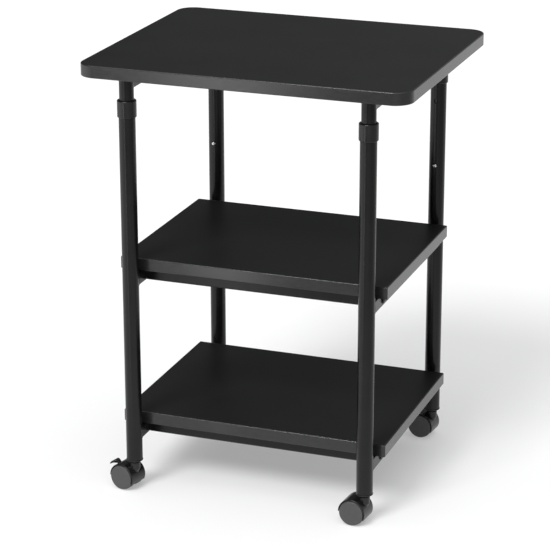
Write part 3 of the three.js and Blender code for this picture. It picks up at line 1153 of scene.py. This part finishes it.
leg_low, leg_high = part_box("leg_tube_rear_left")
LEG_Y = (leg_low.y + leg_high.y) / MM / 2
LEG_RADIUS = (leg_high.x - leg_low.x) / 2 / MM
upper_low, upper_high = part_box("upper_tube_rear_left")
UPPER_RADIUS = (upper_high.x - upper_low.x) / 2 / MM

add_board("top", TOP_CORNER)
for shelf in ("mid", "bottom"):
    add_board(f"{shelf}_shelf", SHELF_CORNER)
    for side in ("left", "right"):
        add_rail(f"{shelf}_rail_{side}", 1, LEG_RADIUS, LEG_Y)
        add_screws(f"{shelf}_rail_{side}", "frame", SHELF_SCREWS)
    for end in ("front", "rear"):
        add_rail(f"{shelf}_rail_{end}", 0)
    add_bolts(shelf)
for side in ("left", "right"):
    add_rail(f"top_rail_{side}", 1, UPPER_RADIUS, LEG_Y)
    add_screws(f"top_rail_{side}", "upper_frame", TOP_SCREWS)
for corner in CORNERS:
    add_leg(corner)
    add_caster(corner)

# ---------------------------------------------------------------- floor, light and camera
# Lengths here are in metres.

FLOOR_SIZE = 30.0
FLOOR_GLOW = 0.34
# The emission of the floor that only mirrored and bounced rays meet: degrees round the stand from
# its front towards its right, and the brightness there. Its peak stands for a strip light.
MIRRORED = [
    (-180, 0.95),
    (-140, 0.8),
    (-104, 0.7),
    (-66, 1.5),
    (-36, 1.3),
    (-28, 0.6),
    (-25, 0.9),
    (-22, 4.0),
    (-19, 3.6),
    (-15.5, 0.4),
    (20, 0.7),
    (60, 0.45),
    (100, 0.5),
    (130, 0.9),
    (180, 0.95),
]
MIRRORED_MOST = 4.0
NEAR_REACH = 0.3  # how far from the stand's middle every ray meets the real floor
FAR_REACH = 1.7  # where only camera rays still meet it

WORLD_DARK = 0.015
WORLD_LIGHT = 0.42
WORLD_SEEN = 1.0
WORLD_FROM = -0.75
WORLD_TO = 0.6
WORLD_TINT = (0.97, 0.985, 1.0, 1)

CAMERA_AIM = (-0.005, 0.006, 0.357)
CAMERA_BEARING = 19.94  # degrees from the front towards the right
CAMERA_HEIGHT = 18.47  # degrees
CAMERA_DISTANCE = 3.53
CAMERA_LENS = 148.8
CAMERA_SHIFT = (-0.0193, -0.05)


def add_floor():
    """A floor that is plain and pale to the camera, and clear when seen from underneath."""
    bm = bmesh.new()
    bmesh.ops.create_grid(bm, x_segments=1, y_segments=1, size=FLOOR_SIZE)
    floor = new_object("studio_floor", bm)
    n = Nodes("studio_floor")
    haze = n.noise(3.0, 2.0, 0.5)
    colour = n.greys(n.between(haze, 0, 1), 0.566, 0.574)
    roughness = n.between(haze, 0.7, 0.8)
    normal = n.bump(n.noise(400.0), 0.02, 0.1)
    floor.data.materials.append(n.finish(colour, roughness, normal))
    n.shader.inputs["Specular IOR Level"].default_value = 0.1
    n.shader.inputs["Emission Color"].default_value = (1, 1, 1, 1)
    n.shader.inputs["Emission Strength"].default_value = FLOOR_GLOW

    spot = n.add("ShaderNodeSeparateXYZ", {0: n.place})
    forward = n.maths("MULTIPLY", spot.outputs["Y"], -1.0)
    angle = n.maths("ARCTAN2", spot.outputs["X"], forward)
    turn = n.between(angle, 0, 1, -math.pi, math.pi)
    ramp = n.add("ShaderNodeValToRGB", {"Fac": turn})
    while len(ramp.color_ramp.elements) < len(MIRRORED):
        ramp.color_ramp.elements.new(0.5)
    for element, (degrees, level) in zip(ramp.color_ramp.elements, MIRRORED):
        element.position = degrees / 360 + 0.5
        element.color = (*(level / MIRRORED_MOST,) * 3, 1)
    reach = n.add("ShaderNodeVectorMath", {0: n.place}, operation="LENGTH").outputs["Value"]
    near = n.between(reach, 1, 0, NEAR_REACH, FAR_REACH)
    levels = {"Color": ramp.outputs["Color"], "Strength": MIRRORED_MOST}
    studio = n.add("ShaderNodeEmission", levels)
    seen = n.add("ShaderNodeLightPath").outputs["Is Camera Ray"]
    real = n.maths("MAXIMUM", seen, near)
    above = n.add("ShaderNodeMixShader", {0: real, 1: studio.outputs[0], 2: n.shader.outputs[0]})
    from_below = n.add("ShaderNodeNewGeometry").outputs["Backfacing"]
    clear = n.add("ShaderNodeBsdfTransparent").outputs[0]
    mix = n.add("ShaderNodeMixShader", {0: from_below, 1: above.outputs[0], 2: clear})
    n.tree.links.new(mix.outputs[0], n.tree.nodes["Material Output"].inputs["Surface"])


def add_sun(name, towards_deg, height_deg, angle_deg, strength):
    """A soft light from a direction (0 is the front, clockwise seen from above) and a height."""
    data = bpy.data.lights.new(name, "SUN")
    data.energy = strength
    data.angle = math.radians(angle_deg)
    lamp = bpy.data.objects.new(name, data)
    bearing, height = math.radians(towards_deg), math.radians(height_deg)
    level = math.cos(height)
    back = Vector((-math.sin(bearing) * level, -math.cos(bearing) * level, math.sin(height)))
    lamp.rotation_euler = back.to_track_quat("Z", "Y").to_euler()
    bpy.context.scene.collection.objects.link(lamp)


def add_world():
    """A white backdrop whose light on the stand is dim, darkest on the left and palest on the right."""
    world = bpy.data.worlds.new("studio")
    world.use_nodes = True
    tree = world.node_tree
    direction = tree.nodes.new("ShaderNodeTexCoord")
    split = tree.nodes.new("ShaderNodeSeparateXYZ")
    ramp = tree.nodes.new("ShaderNodeMapRange")
    ramp.interpolation_type = "SMOOTHSTEP"
    ramp.inputs["From Min"].default_value = WORLD_FROM
    ramp.inputs["From Max"].default_value = WORLD_TO
    ramp.inputs["To Min"].default_value = WORLD_DARK
    ramp.inputs["To Max"].default_value = WORLD_LIGHT
    background = tree.nodes["Background"]
    background.inputs["Color"].default_value = WORLD_TINT
    tree.links.new(direction.outputs["Generated"], split.inputs[0])
    tree.links.new(split.outputs["X"], ramp.inputs["Value"])
    seen = tree.nodes.new("ShaderNodeLightPath")
    choice = tree.nodes.new("ShaderNodeMix")
    choice.inputs["B"].default_value = WORLD_SEEN
    tree.links.new(seen.outputs["Is Camera Ray"], choice.inputs["Factor"])
    tree.links.new(ramp.outputs["Result"], choice.inputs["A"])
    tree.links.new(choice.outputs["Result"], background.inputs["Strength"])
    bpy.context.scene.world = world


def add_camera():
    """Looks at the stand from its right front, from somewhat above."""
    data = bpy.data.cameras.new("camera")
    data.sensor_width = 36
    data.lens = CAMERA_LENS
    data.shift_x, data.shift_y = CAMERA_SHIFT
    data.clip_end = 60
    camera = bpy.data.objects.new("camera", data)
    turn = Euler((math.radians(90 - CAMERA_HEIGHT), 0, math.radians(CAMERA_BEARING)))
    back = Vector((0, 0, CAMERA_DISTANCE))
    back.rotate(turn)
    camera.location = Vector(CAMERA_AIM) + back
    camera.rotation_euler = turn
    bpy.context.scene.collection.objects.link(camera)
    bpy.context.scene.camera = camera


add_floor()
add_world()
add_sun("overhead", 20, 75, 80, 1.8)
add_sun("key", 14, 46, 22, 2.3)
add_camera()
bpy.context.scene.view_settings.view_transform = "Standard"
